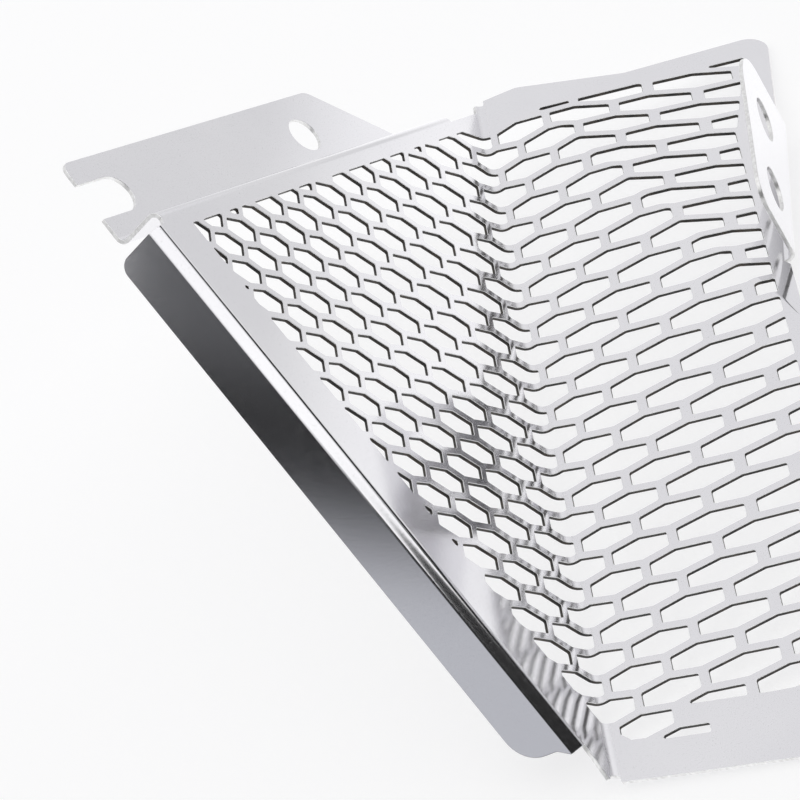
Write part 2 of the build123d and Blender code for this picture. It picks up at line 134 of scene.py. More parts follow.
def keepSide(cell, place, toward):
    # the part of a convex polygon on the side of a line that faces toward
    if len(cell) < 3:
        return cell
    d = (cell - place) @ toward
    after, dAfter = np.roll(cell, -1, axis=0), np.roll(d, -1)
    cut = d * dAfter < 0
    share = np.where(cut, d / np.where(cut, d - dAfter, 1), 0)[:, None]
    both = np.stack([cell, cell + (after - cell) * share], axis=1).reshape(-1, 2)
    return both[np.stack([d >= 0, cut], axis=1).ravel()]


def offsetLoop(loop, distance):
    # moves every side of a loop that runs anticlockwise outward by the distance
    side = unit(np.roll(loop, -1, axis=0) - loop)
    out = np.stack([side[:, 1], -side[:, 0]], axis=1)
    before = np.roll(out, 1, axis=0)
    facing = 1 + np.sum(out * before, axis=1, keepdims=True)
    return loop + distance * (out + before) / np.maximum(facing, fineness["spike"])


# lines that the outline and the bends share
square = sheet["bendRadius"] + sheet["thick"]  # radius and reach of a bend folded back square
valleyReach = sheet["valleyRadius"] * math.tan(math.radians(sheet["valleyAngle"] / 2))
topHeading, topOut = heading(sheet["wingTop"]), heading(sheet["wingTop"] + 90)
sideHeading, sideOut = heading(-sheet["wingSide"]), heading(-sheet["wingSide"] - 90)
wingCorner = crossing((0, sheet["top"]), sheet["wingTop"], (0, -sheet["wingFoot"]), -sheet["wingSide"])
wingToe = crossing((0, -sheet["wingFoot"]), -sheet["wingSide"], (-sheet["footWidth"], 0), 90)
flangeEnd = float((wingToe - wingCorner) @ sideHeading)
wallEnd = sheet["wallStart"] + sheet["wallLength"]
creaseFoot = np.array([sheet["creaseStart"], sheet["top"]])
creaseLength = (sheet["notchSide"] - sheet["creaseStart"]) / math.cos(math.radians(sheet["creaseAngle"]))


def onTop(along, out):
    return wingCorner + topHeading * along + topOut * out


def onSide(along, out):
    return wingCorner + sideHeading * along + sideOut * out


def bottomEdge(x):
    return -sheet["bottom"] - math.tan(math.radians(sheet["bottomAngle"])) * min(x, sheet["chin"])


def spin(v, axis, angle):
    # turns each row of v about the axis by its own angle
    co, si = np.cos(angle)[:, None], np.sin(angle)[:, None]
    return v * co + np.cross(axis, v) * si + axis * (v @ axis)[:, None] * (1 - co)


def makeFold(foot, out, angle, radius, forward, low, high, spread=0):
    # low and high bound the bend along its line, measured from the foot; what lies past it may spread wider
    return dict(foot=np.asarray(foot, float), out=np.asarray(out, float), angle=math.radians(angle),
                radius=radius, forward=forward, low=low, high=high, spread=spread,
                reach=radius * math.tan(math.radians(angle / 2)))


def applyFold(fold, flat, place, normal):
    # rows past the fold line turn about the bend's axis, rows inside the bend by their share of the angle
    out, reach, sense = fold["out"], fold["reach"], 1 if fold["forward"] else -1
    gap = flat - fold["foot"]
    along = gap @ np.array([-out[1], out[0]])
    spread = fold["spread"] * (gap @ out > 0.999 * reach)  # only from the end of the bend on
    inside = (along >= fold["low"] - spread) & (along <= fold["high"] + spread)
    passed = np.where(inside, np.clip(gap @ out + reach, 0, 2 * reach), 0)
    out3, up = np.array([*out, 0]), np.array([0.0, 0, 1])
    centre = np.array([*fold["foot"], 0]) - out3 * reach + up * fold["radius"] * sense
    axis, angle = np.cross(out3, up), sense * fold["angle"] * passed / (2 * reach)
    return centre + spin(place - out3 * passed[:, None] - centre, axis, angle), spin(normal, axis, angle)


def foldAll(folds, flat):
    # folded places and front normals of flat points, from the outermost fold inward
    place = np.column_stack([flat, np.zeros(len(flat))])
    normal = np.tile([0.0, 0, 1], (len(flat), 1))
    for fold in folds:
        place, normal = applyFold(fold, flat, place, normal)
    return place, normal


hemFold = makeFold(wingCorner + topOut * sheet["tabOffset"], topOut, 90, sheet["bendRadius"], True,
                   -wallEnd - foldRoom["hem"], foldRoom["hem"] - sheet["wallStart"])
wallFold = makeFold(wingCorner, topOut, 90, square, False,
                    -wallEnd - foldRoom["square"], foldRoom["square"] - sheet["wallStart"])
flangeFold = makeFold(wingCorner, sideOut, 90, square, False,
                      sheet["flangeStart"] - foldRoom["square"], flangeEnd + foldRoom["square"])
valleyFold = makeFold((0, 0), (-1, 0), sheet["valleyAngle"], sheet["valleyRadius"], True,
                      -foldRoom["valley"], foldRoom["valley"])
creaseFold = makeFold(creaseFoot, heading(90 - sheet["creaseAngle"]), sheet["creaseBend"],
                      sheet["creaseRadius"] + sheet["thick"], False,
                      -creaseLength - foldRoom["creaseFar"], foldRoom["creaseNear"])

# the ear stands square to the centre panel, so its fold angle follows from the flap's slope
earLine = heading(90 - sheet["earLean"])
earOut = np.array([earLine[1], -earLine[0]])
earFoot = np.array([sheet["earPlace"], 0.0])
creaseAxis = np.cross(np.array([*creaseFold["out"], 0]), np.array([0.0, 0, 1]))
creaseTurn = np.array([-creaseFold["angle"]])
earUpright = spin(np.array([[*earLine, 0]]), creaseAxis, creaseTurn)[0]
flapNormal = spin(np.array([[0.0, 0, 1]]), creaseAxis, creaseTurn)[0]
earNormal = unit(np.cross(earUpright, [0, 0, 1]))
earAngle = 90 + math.degrees(math.asin(earNormal @ flapNormal))
earLevel = np.cross([0, 0, 1], earNormal)


def creased(p):
    return foldAll([creaseFold], np.asarray(p, float)[None])[0][0]


def earFoldAt(height):
    return earFoot + earLine * ((height - creased(earFoot)[1]) / earUpright[1])


earLow, earHigh = earFoldAt(sheet["earBottom"]), earFoldAt(sheet["earTop"])
earLength = float((earHigh - earLow) @ earLine)
earFold = makeFold(earLow, earOut, earAngle, sheet["bendRadius"], True,
                   -foldRoom["earLow"], earLength + foldRoom["earHigh"], foldRoom["earSpread"])
earNeck = earHigh - earOut * sheet["flapSet"]
flapTip = crossing((sheet["flapStep"], sheet["top"]), sheet["flapRise"], earNeck, 90 - sheet["flapLean"])
folds = [hemFold, wallFold, flangeFold, valleyFold, earFold, creaseFold]


def onEar(along, out):
    return earLow + earLine * along + earOut * out


def earSpot(height, z):
    # flat place of a point of the ear, given its height on the guard and its height above the centre panel
    rise, lift = earUpright @ earLevel, earUpright[2]
    foot = creased(earLow)
    x, z = (height - foot[1]) / earLevel[1], z - foot[2]
    return onEar(x * rise + z * lift, z * rise - x * lift)


def panelCorners():
    # middle of the bottom edge to the wing's toe
    v, chinEdge, small = valleyReach, bottomEdge(sheet["chin"]), sheet["smallCorner"]
    reliefTop, reliefCorner = bottomEdge(0) + sheet["relief"], sheet["reliefCorner"]
    return [
        ((sheet["half"], chinEdge), 0), ((sheet["chin"], chinEdge), 0), ((v, bottomEdge(v)), small),
        ((v, reliefTop), reliefCorner), ((-v, reliefTop), reliefCorner), ((-v, bottomEdge(0)), small)]


def flangeCorners():
    step, start, depth = sheet["flangeStep"], sheet["flangeStart"], sheet["flangeDepth"]
    return [
        (onSide(flangeEnd, -square), 0), (onSide(flangeEnd, square), 0),
        (onSide(flangeEnd - step, square + step), sheet["flangeToe"]),
        (onSide(flangeEnd - 2 * step, depth), sheet["flangeEndCorner"]),
        (onSide(start, depth), sheet["flangeCorner"]), (onSide(start, -square), 0)]


def tabCorners():
    # relief at the wing's corner, then round the tab with its open slot to the end of the top wall
    inner = crossing(onTop(0, -square), sheet["wingTop"], onSide(0, -square), -sheet["wingSide"])
    r, start, radius = sheet["relief"], sheet["wallStart"], sheet["bendRadius"]
    reliefEnd = (inner - wingCorner) @ topHeading + r + sheet["reliefClear"]
    line, slot = sheet["tabOffset"] + sheet["fixingLine"], sheet["slotWidth"] / 2
    slotEnd, tabEnd = start + sheet["slotDepth"], start + sheet["tabLength"]
    tab, hem = sheet["tabOffset"] + sheet["tabWidth"], sheet["tabOffset"]
    shoulder = tabEnd - (sheet["tabWidth"] - radius) / math.tan(math.radians(sheet["wingTop"]))
    return [
        (inner + sideHeading * r, 0), (inner + (sideHeading + topHeading) * r, r * sheet["reliefRound"]),
        (inner + topHeading * r, 0), (onTop(max(start, reliefEnd), -square), 0),
        (onTop(start, line - slot), sheet["slotLip"]), (onTop(slotEnd, line - slot), slot),
        (onTop(slotEnd, line + slot), slot), (onTop(start, line + slot), sheet["slotLip"]),
        (onTop(start, tab), sheet["tabCorner"]), (onTop(shoulder, tab), sheet["tabFarCorner"]),
        (onTop(tabEnd, hem + radius), 0), (onTop(tabEnd, hem - radius), 0),
        (onTop(wallEnd, square), 0), (onTop(wallEnd, -square), 0)]


def flapCorners():
    # relief at the head of the valley, the flap, the ear and the notch
    v, small, reliefLow = valleyReach, sheet["smallCorner"], sheet["top"] - sheet["relief"]
    head = crossing(onTop(0, -square), sheet["wingTop"], (-v, 0), 90)
    toe = earLow - earOut * earFold["reach"]
    return [
        (head, 0), ((-v, reliefLow), small), ((v, reliefLow), small), ((v, sheet["top"]), small),
        ((sheet["flapStep"], sheet["top"]), sheet["flapStepCorner"]), (flapTip, sheet["flapCorner"]),
        (earNeck, 0), (onEar(earLength, earFold["reach"]), 0),
        (earSpot(sheet["earTop"], sheet["earHeight"]), sheet["earTopCorner"]),
        (earSpot(sheet["earBottom"], sheet["earHeight"]), sheet["earBottomCorner"]),
        (onEar(0, earFold["reach"]), 0), (toe, 0),
        ((sheet["notchSide"], toe[1] - sheet["relief"]), small),
        ((sheet["notchSide"], -sheet["notchDepth"]), sheet["notchCorner"]),
        ((sheet["half"], -sheet["notchDepth"]), 0)]


def flatOutline():
    # the left half clockwise, each corner given as its place and radius
    corners = panelCorners() + flangeCorners() + tabCorners() + flapCorners()
    places, radii = zip(*corners)
    return rounded(places, radii, fineness["arcSteps"])


def webLines():
    # lengths grow by a factor towards the middle and shrink by another outward; the webs of odd rows
    # stand a share of a length past those of even rows
    even, lengths, length = [hexes["first"]], [], hexes["centre"]
    while even[-1] + length < sheet["half"]:
        lengths.append(length)
        even.append(even[-1] + length)
        length *= hexes["growth"]
    lengths.insert(0, (hexes["wing"] + hexes["centre"]) / 2)
    even.insert(0, even[0] - lengths[0])
    length = hexes["wing"]
    while even[0] > wingCorner[0]:
        even.insert(0, even[0] - length)
        lengths.insert(0, length)
        length *= hexes["taper"]
    odd = [e + hexes["stagger"] * n for e, n in zip(even, lengths)]
    return even, odd + [sheet["half"]]


def trimmed(cell):
    # the part of a cell inside the plain margins
    x, y = cell.mean(axis=0)
    cell = keepSide(cell, wingCorner - topOut * hexes["topMargin"], -topOut)
    cell = keepSide(cell, wingCorner - sideOut * hexes["sideMargin"], -sideOut)
    cell = keepSide(cell, np.array([0, hexes["top"]]), heading(hexes["topAngle"] - 90))
    fall = sheet["bottomAngle"] if 0 < x < sheet["chin"] else 0
    if x > hexes["bandStart"]:
        cell = keepSide(cell, np.array([x, bottomEdge(x) + hexes["bandMargin"]]), heading(90 - fall))
    else:
        cell = keepSide(cell, np.array([0, hexes["bottomMargin"] - sheet["bottom"]]), heading(90 - fall))
    if y > hexes["leanStart"]:
        cell = keepSide(cell, np.array([hexes["right"], hexes["leanStart"]]), heading(180 - hexes["lean"]))
    elif y > -hexes["shelf"]:
        cell = keepSide(cell, np.array([hexes["right"], 0]), heading(180))
    elif x > hexes["right"]:
        cell = keepSide(cell, np.array([0, -hexes["shelf"]]), heading(-90))
    return cell


def meshCells():
    # a cell runs from web line a to web line b with its two peaks at p, and is stretched upward
    # in proportion to its distance from the valley
    even, odd = webLines()
    pitch, half = hexes["rowPitch"], sheet["half"]
    cells = []
    for row in range(-int(sheet["top"] / pitch), int((sheet["bottom"] + half) / pitch) + 1):
        lines, peaks = (odd, even[1:]) if row % 2 else (even, odd)
        spans = [(a, p, b, hexes["web"] * (b - a) / 2) for a, p, b in zip(lines, peaks, lines[1:])]
        if row % 2 == 0:  # the cell across the middle line
            spans.append((even[-1], half, 2 * half - even[-1], hexes["web"] * (half - even[-1])))
        top = -row * pitch
        low = top - hexes["side"]
        for a, p, b, web in spans:
            cell = np.array([(a + web, low), (p, low - hexes["peak"]), (b - web, low),
                             (b - web, top), (p, top + hexes["peak"]), (a + web, top)])
            inward = np.clip(np.minimum(cell[:, 0], 2 * half - cell[:, 0]), 0, None)
            cell[:, 1] *= 1 + hexes["fan"] * inward
            cell = trimmed(cell)
            if len(cell) > 2 and abs(signedArea(cell)) > hexes["least"]:
                cells.append(rounded(cell, hexes["corner"], fineness["cellSteps"]))
    return cells


def roundHoles():
    places = [(onTop(sheet["wallStart"] + sheet["tabHolePlace"], sheet["tabOffset"] + sheet["fixingLine"]),
               sheet["tabHole"])]
    for height in (sheet["earHoleTop"], sheet["earHoleTop"] - sheet["earHoleSpacing"]):
        places.append((earSpot(height, sheet["earHoleHeight"]), sheet["earHole"]))
    return [ring(centre, width / 2, fineness["holeSteps"]) for centre, width in places]


def bendLines(fold, low, high):
    # straight lines that divide a bend into narrow strips
    across = np.linspace(-1, 1, fineness["bendSteps"] + 1) * fold["reach"]
    line = np.array([-fold["out"][1], fold["out"][0]])
    starts = fold["foot"] + fold["out"] * across[:, None]
    return np.stack([starts + line * low, starts + line * high], axis=1)


def cutSheet(outline, holes, cellCount, lines):
    # triangles of the flat sheet that keep to the outline, the holes and the bend lines, then its open
    # sides, and which of those belong to a mesh cell
    loops = [outline] + holes
    ends = np.cumsum([len(loop) for loop in loops])
    rings = [list(range(end - len(loop), end)) for loop, end in zip(loops, ends)]
    points = np.concatenate(loops + [lines.reshape(-1, 2)])
    edges = (ends[-1] + np.arange(2 * len(lines)).reshape(-1, 2)).tolist()
    found = delaunay_2d_cdt(list(map(Vector, points)), edges, rings, 0, fineness["tolerance"], True)
    flat, triangles = np.array(found[0]), np.array(found[2])
    # 0 for sheet, 1 inside a mesh cell, 2 inside a round hole or outside
    last = np.array([max(inside, default=-1) for inside in found[5]])
    kind = np.where(last == 0, 0, np.where((last > 0) & (last <= cellCount), 1, 2))
    a, b, d = flat[triangles[:, 0]], flat[triangles[:, 1]], flat[triangles[:, 2]]
    turned = (b[:, 0] - a[:, 0]) * (d[:, 1] - a[:, 1]) - (b[:, 1] - a[:, 1]) * (d[:, 0] - a[:, 0]) < 0
    triangles[turned] = triangles[turned][:, ::-1]
    # a side is open where the triangle across it isn't sheet, apart from the middle line
    sides = np.concatenate([triangles[:, [0, 1]], triangles[:, [1, 2]], triangles[:, [2, 0]]])
    owner, count = np.tile(kind, 3), len(flat)
    key, twin = sides[:, 0] * count + sides[:, 1], sides[:, 1] * count + sides[:, 0]
    order = np.argsort(key)
    spot = np.clip(np.searchsorted(key[order], twin), 0, len(key) - 1)
    across = np.where(key[order][spot] == twin, owner[order][spot], 2)
    middle = np.all(np.abs(flat[sides][:, :, 0] - sheet["half"]) < fineness["hair"], axis=1)
    isOpen = (owner == 0) & (across != 0) & ~middle
    used, index = np.unique(triangles[kind == 0], return_inverse=True)
    fresh = np.full(count, -1)
    fresh[used] = np.arange(len(used))
    return flat[used], index.reshape(-1, 3), fresh[sides[isOpen]], across[isOpen] == 1


def rimDirections(flat, openSides):
    # at each point of an open side the mean of its sides' outward normals, and the least cosine to them
    along = unit(flat[openSides[:, 1]] - flat[openSides[:, 0]])
    sideNormal = np.stack([along[:, 1], -along[:, 0]], axis=1)
    rimPoints, rimIndex = np.unique(openSides, return_inverse=True)
    rimIndex = rimIndex.reshape(-1, 2)
    outward = np.zeros((len(rimPoints), 2))
    for end in (0, 1):
        np.add.at(outward, rimIndex[:, end], sideNormal)
    outward = unit(outward)
    lean = np.ones(len(rimPoints))
    for end in (0, 1):
        np.minimum.at(lean, rimIndex[:, end], np.sum(outward[rimIndex[:, end]] * sideNormal, axis=1))
    return rimPoints, rimIndex, outward, lean


def thickSheet(flat, triangles, openSides, isCell):
    # the front is the folded flat sheet and the back lies one thickness behind it along the folded normal;
    # each open side joins them by a front chamfer, a wall and a back chamfer
    rimPoints, rimIndex, outward, lean = rimDirections(flat, openSides)
    chamfer, thick = fineness["chamfer"], sheet["thick"]
    cutFlat = flat[rimPoints] + outward * (chamfer / np.maximum(lean, fineness["mitre"]))[:, None]
    front, frontNormal = foldAll(folds, flat)
    cut, cutFront = foldAll(folds, cutFlat)
    cutNormal = unit(foldAll(folds, cutFlat + outward * fineness["probe"])[0] - cut)
    rows = np.concatenate([front, front - thick * frontNormal,
                           cut - chamfer * cutFront, cut - (thick - chamfer) * cutFront])
    normals = np.concatenate([frontNormal, -frontNormal, cutNormal, cutNormal])
    n, m = len(flat), len(rimPoints)
    a, b = openSides.T
    p, q = rimIndex.T + 2 * n
    strips = ((b, a, p, q), (q, p, p + m, q + m), (q + m, p + m, a + n, b + n))
    quads = np.concatenate([np.stack(strip, axis=1) for strip in strips])
    faceTriangles = np.concatenate([triangles, triangles[:, ::-1] + n])
    # finishes: 0 face, 1 wall of a mesh cell, or edge of the flange darkened as painted shade, 2 other
    # wall, 3 other front chamfer
    wallSlot = np.where(isCell, 1, 2)
    stripSlots = np.stack([np.full(len(wallSlot), 3), wallSlot, wallSlot])
    # painted shade: the flange's whole edge, its chamfers and wall, takes the dark wall finish
    onFlange = (flat[openSides].mean(axis=1) - wingCorner) @ sideOut > square + foldRoom["square"]
    stripSlots[:, onFlange] = 1
    slots = np.concatenate([np.zeros(len(faceTriangles), int), stripSlots.ravel()])
    return rows, normals, faceTriangles, quads, slots


# how far past the low end of the ear's fold the painted shade on its front reaches, in mm
paintedShadeReach = dict(belowEar=12.0)


def faceMarks(flat, count):
    # painted shade on the ear's front: full at its root, none at its free edge, and none on the rest;
    # bent: full in the valley bend, none from one reach past it
    gap = flat - earLow
    out = gap @ earOut
    paintedShadeArea = np.clip(out / earFold["reach"], 0, 1) * (gap @ earLine > -paintedShadeReach["belowEar"])
    marks = np.zeros((count, 2))
    marks[:len(flat), 0] = paintedShadeArea * np.clip(1 - (out - earFold["reach"]) / sheet["earHeight"], 0, 1)
    marks[:len(flat), 1] = np.clip(2 - np.abs(flat[:, 0]) / valleyReach, 0, 1)
    return marks


def mirrored(rows, normals, triangles, quads, slots, marks):
    # the right half is the left with x reversed, and shares its points on the middle line
    rows = rows - [sheet["half"], 0, 0]
    count, half = len(rows), len(triangles)
    shared = np.abs(rows[:, 0]) < fineness["hair"]
    rows[shared, 0] = 0
    twin = np.where(shared, np.arange(count), count + np.arange(count))
    flip = np.array([-1.0, 1, 1])
    bothTriangles = np.concatenate([triangles, twin[triangles][:, ::-1]])
    bothQuads = np.concatenate([quads, twin[quads][:, ::-1]])
    bothSlots = np.concatenate([slots[:half], slots[:half], slots[half:], slots[half:]])
    corners = np.concatenate([bothTriangles.ravel(), bothQuads.ravel()])
    used, index = np.unique(corners, return_inverse=True)
    faces = index[:bothTriangles.size].reshape(-1, 3), index[bothTriangles.size:].reshape(-1, 4)
    bothRows = np.concatenate([rows, rows * flip])[used]
    bothNormals = np.concatenate([normals, normals * flip])[used]
    return bothRows, bothNormals, *faces, bothSlots, np.concatenate([marks, marks])[used]


def layTurn():
    # turn about x that lays the guard on its back, resting on the chin and the tips of the flaps
    chinPlace = np.array([0, bottomEdge(sheet["chin"]), -sheet["thick"]])
    rise = creased(flapTip) - sheet["thick"] * flapNormal - chinPlace
    tilt = -math.atan2(rise[2], rise[1])
    return np.array([[1, 0, 0], [0, math.cos(tilt), -math.sin(tilt)], [0, math.sin(tilt), math.cos(tilt)]])


cells = meshCells()
holes = cells + roundHoles()
outline = flatOutline()
inset = offsetLoop(outline, -fineness["chamfer"])
inset[np.abs(outline[:, 0] - sheet["half"]) < fineness["hair"], 0] = sheet["half"]
lines = np.concatenate([
    bendLines(valleyFold, -fineness["valleyRun"], fineness["valleyRun"]),
    bendLines(wallFold, -wallEnd, -sheet["wallStart"]),
    bendLines(hemFold, -wallEnd, -sheet["wallStart"]),
    bendLines(flangeFold, sheet["flangeStart"], flangeEnd),
    bendLines(creaseFold, -creaseLength - fineness["creaseBefore"], fineness["creaseAfter"]),
    bendLines(earFold, 0, earLength)])
widened = [offsetLoop(hole, fineness["chamfer"]) for hole in holes]
flat, triangles, openSides, isCell = cutSheet(inset, widened, len(cells), lines)
print("stage: flat", len(flat), "points", len(triangles), "triangles", len(holes), "holes")

rows, normals, faceTriangles, quads, slots = thickSheet(flat, triangles, openSides, isCell)
rows, normals, faces3, faces4, slots, marks = mirrored(
    rows, normals, faceTriangles, quads, slots, faceMarks(flat, len(rows)))
turn = layTurn()
laid, laidNormals = rows @ turn.T, normals @ turn.T
low, high = (np.array(v) * 1000 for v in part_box("guard_sheet"))
across = 0.5 * (low[1] + high[1] - laid[:, 1].min() - laid[:, 1].max())
shift = np.array([0, across, low[2] - laid[:, 2].min()])
laid += shift
print("stage: folded", laid.min(axis=0).round(3), laid.max(axis=0).round(3))


def makePiece(name, points, faces3, faces4, pointNormals, slots, materials):
    mesh = bpy.data.meshes.new(name)
    mesh.vertices.add(len(points))
    mesh.vertices.foreach_set("co", (points / 1000).ravel())
    corners = np.concatenate([faces3.ravel(), faces4.ravel()])
    starts = np.concatenate([np.arange(len(faces3)) * 3, len(faces3) * 3 + np.arange(len(faces4)) * 4])
    mesh.loops.add(len(corners))
    mesh.loops.foreach_set("vertex_index", corners)
    mesh.polygons.add(len(starts))
    mesh.polygons.foreach_set("loop_start", starts)
    mesh.polygons.foreach_set("material_index", slots)
    mesh.polygons.foreach_set("use_smooth", np.ones(len(starts), bool))
    mesh.update(calc_edges=True)
    mesh.validate()
    mesh.normals_split_custom_set_from_vertices(pointNormals.tolist())
    for material in materials:
        mesh.materials.append(material)
    piece = bpy.data.objects.new(name, mesh)
    bpy.context.scene.collection.objects.link(piece)
    return piece


class Field:
    # a shader socket that can be used in sums and products
    def __init__(self, tree, socket=None):
        self.tree, self.socket = tree, socket

    def node(self, kind, settings, inputs, out=0):
        made = self.tree.nodes.new(kind)
        for key, value in settings.items():
            setattr(made, key, value)
        for key, value in inputs.items():
            if isinstance(value, Field):
                self.tree.links.new(value.socket, made.inputs[key])
            else:
                made.inputs[key].default_value = value
        return Field(self.tree, made.outputs[out])

    def maths(self, operation, first, second):
        return self.node("ShaderNodeMath", {"operation": operation}, {0: first, 1: second})

    def __add__(self, other):
        return self.maths("ADD", self, other)

    def __radd__(self, other):
        return self.maths("ADD", other, self)

    def __sub__(self, other):
        return self.maths("SUBTRACT", self, other)

    def __rsub__(self, other):
        return self.maths("SUBTRACT", other, self)

    def __mul__(self, other):
        return self.maths("MULTIPLY", self, other)

    def __rmul__(self, other):
        return self.maths("MULTIPLY", other, self)

    def between(self, low, high):
        # 0 below low, 1 above high, smooth in the middle
        return self.node("ShaderNodeMapRange", {"interpolation_type": "SMOOTHSTEP"},
                         {"Value": self, "From Min": low, "From Max": high})

    def blend(self, first, second):
        return self.node("ShaderNodeMix", {"data_type": "RGBA"},
                         {"Factor": self, "A": first, "B": second}, 2)


def newMaterial(name):
    material = bpy.data.materials.new(name)
    material.use_nodes = True
    tree = material.node_tree
    field = Field(tree)
    shader = next(k for k in tree.nodes if k.type == "BSDF_PRINCIPLED")
    place = field.node("ShaderNodeTexCoord", {}, {}, 3)  # Object coordinates
    return material, field, shader, place


def wire(field, shader, socket, value):
    field.tree.links.new(value.socket, shader.inputs[socket])


def noise(field, place, stretch, detail, roughness=0.6):
    scaled = field.node("ShaderNodeMapping", {}, {"Vector": place, "Scale": stretch})
    return field.node("ShaderNodeTexNoise", {},
                      {"Vector": scaled, "Scale": 1.0, "Detail": detail, "Roughness": roughness})


# polished sheet: fine grain along x, faint clouds and dull flecks, and painted shade darkening the ear's
# front towards its root
faceLook = dict(tone=(0.757, 0.752, 0.778, 1), pale=(0.798, 0.793, 0.814, 1),
                cloud=(16, 16, 16), cloudDetail=3.0, cloudRange=(0.3, 0.7),
                grain=(90, 1700, 1700), grainDetail=4.0, grainShare=0.6,
                roughLow=0.05, roughHigh=0.11, bump=0.006, bumpDepth=0.0002,
                fleck=(2700, 2700, 2700), fleckDetail=2.0, fleckRough=0.5, fleckRange=(0.58, 0.72),
                haze=0.02, fleckHaze=0.12,
                paintedShadeTone=(0.08, 0.08, 0.085, 1), paintedShade=0.85, bentRough=0.2)


def faceMaterial(look):
    material, field, shader, place = newMaterial("brightSteel")
    cloud = noise(field, place, look["cloud"], look["cloudDetail"])
    grain = noise(field, place, look["grain"], look["grainDetail"])
    fleck = noise(field, place, look["fleck"], look["fleckDetail"], look["fleckRough"])
    paintedShade = field.node("ShaderNodeAttribute", {"attribute_name": "paintedShade"}, {}, 2)
    bent = field.node("ShaderNodeAttribute", {"attribute_name": "bent"}, {}, 2)
    steel = cloud.between(*look["cloudRange"]).blend(look["tone"], look["pale"])
    mottle = grain * look["grainShare"] + cloud * (1 - look["grainShare"])
    rough = look["roughLow"] + mottle * (look["roughHigh"] - look["roughLow"])
    bump = field.node("ShaderNodeBump", {},
                      {"Height": grain, "Strength": look["bump"], "Distance": look["bumpDepth"]})
    # painted shade: the ear's front mixes towards a near-black tone at its root
    wire(field, shader, "Base Color", (paintedShade * look["paintedShade"]).blend(steel, look["paintedShadeTone"]))
    wire(field, shader, "Roughness", rough + bent * look["bentRough"])
    dull = fleck.between(*look["fleckRange"])
    wire(field, shader, "Metallic", (1 - look["haze"]) - dull * look["fleckHaze"])
    wire(field, shader, "Normal", bump)
    return material


# cut edges: burnt walls of the mesh cells, whose dark finish also lies on the flange's edges as painted
# shade, bright walls of the rim and the broken front edge
wallLook = dict(dark=(0.012, 0.011, 0.010, 1), pale=(0.06, 0.048, 0.038, 1), streak=(500, 500, 120),
                detail=3.0, streakRange=(0.35, 0.75), rough=0.35, roughMore=0.3, metal=0.4)
rimLook = dict(dark=(0.68, 0.675, 0.67, 1), pale=(0.86, 0.86, 0.86, 1), streak=(1500, 1500, 400),
               detail=3.0, streakRange=(0.3, 0.7), rough=0.25, roughMore=0.25, metal=1.0)
edgeLook = dict(dark=(0.80, 0.80, 0.81, 1), pale=(0.93, 0.93, 0.94, 1), streak=(900, 900, 900),
                detail=2.0, streakRange=(0.3, 0.7), rough=0.22, roughMore=0.2, metal=0.75)


def cutMaterial(name, look):
    material, field, shader, place = newMaterial(name)
    streak = noise(field, place, look["streak"], look["detail"])
    tone = streak.between(*look["streakRange"]).blend(look["dark"], look["pale"])
    wire(field, shader, "Base Color", tone)
    wire(field, shader, "Roughness", look["rough"] + streak * look["roughMore"])
    shader.inputs["Metallic"].default_value = look["metal"]
    return material


finishes = [faceMaterial(faceLook), cutMaterial("cutWall", wallLook),
            cutMaterial("rimSteel", rimLook), cutMaterial("brightEdge", edgeLook)]
guard = makePiece("guardSheet", laid, faces3, faces4, laidNormals, slots, finishes)
for name, values in zip(("paintedShade", "bent"), marks.T):
    mark = guard.data.attributes.new(name, "FLOAT", "POINT")
    mark.data.foreach_set("value", np.ascontiguousarray(values))
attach(guard, "root")
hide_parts("guard_sheet")
print("stage: piece", len(guard.data.vertices), "points", len(faces3) + 2 * len(faces4), "triangles")


def matteMaterial(name, colour, glow):
    # no gloss, and white light of its own
    material, field, shader, place = newMaterial(name)
    shader.inputs["Base Color"].default_value = colour
    shader.inputs["Roughness"].default_value = 0.9
    shader.inputs["Specular IOR Level"].default_value = 0.0
    shader.inputs["Emission Color"].default_value = (1, 1, 1, 1)
    shader.inputs["Emission Strength"].default_value = glow
    return material, field, shader, place


def addStage(name, points, faces, material):
    mesh = bpy.data.meshes.new(name)
    mesh.from_pydata(points, [], faces)
    mesh.materials.append(material)
    made = bpy.data.objects.new(name, mesh)
    bpy.context.scene.collection.objects.link(made)
    return made


def flatCard(name, centre, facing, width, height, material):
    w, h = width / 2, height / 2
    made = addStage(name, [(-w, -h, 0), (w, -h, 0), (w, h, 0), (-w, h, 0)], [(0, 1, 2, 3)], material)
    made.location = centre
    made.rotation_euler = facing
    return made


def curvedCard(name, around, radius, low, high, material):
    # strip of an upright cylinder about the guard: radius times (cos, sin, slope), with the slope
    # running from low to high
    foot = np.column_stack([np.cos(around), np.sin(around), low])
    head = np.column_stack([np.cos(around), np.sin(around), high])
    count = len(around)
    i = np.arange(count - 1)
    faces = np.stack([i, i + 1, i + 1 + count, i + count], axis=1)
    return addStage(name, (np.concatenate([foot, head]) * radius).tolist(), faces.tolist(), material)


# light table in metres: to the camera it glows evenly, but what the guard mirrors is a painted pool of
# light, brightest around the guard; and an even pale world
tableLook = dict(size=8.0, drop=0.0004, colour=(0.40, 0.40, 0.405, 1), glow=0.80, fade=0.315,
                 fadeStart=0.2, fadeEnd=0.75, seen=0.62, world=(0.99, 0.99, 1.0, 1), worldLevel=0.92)


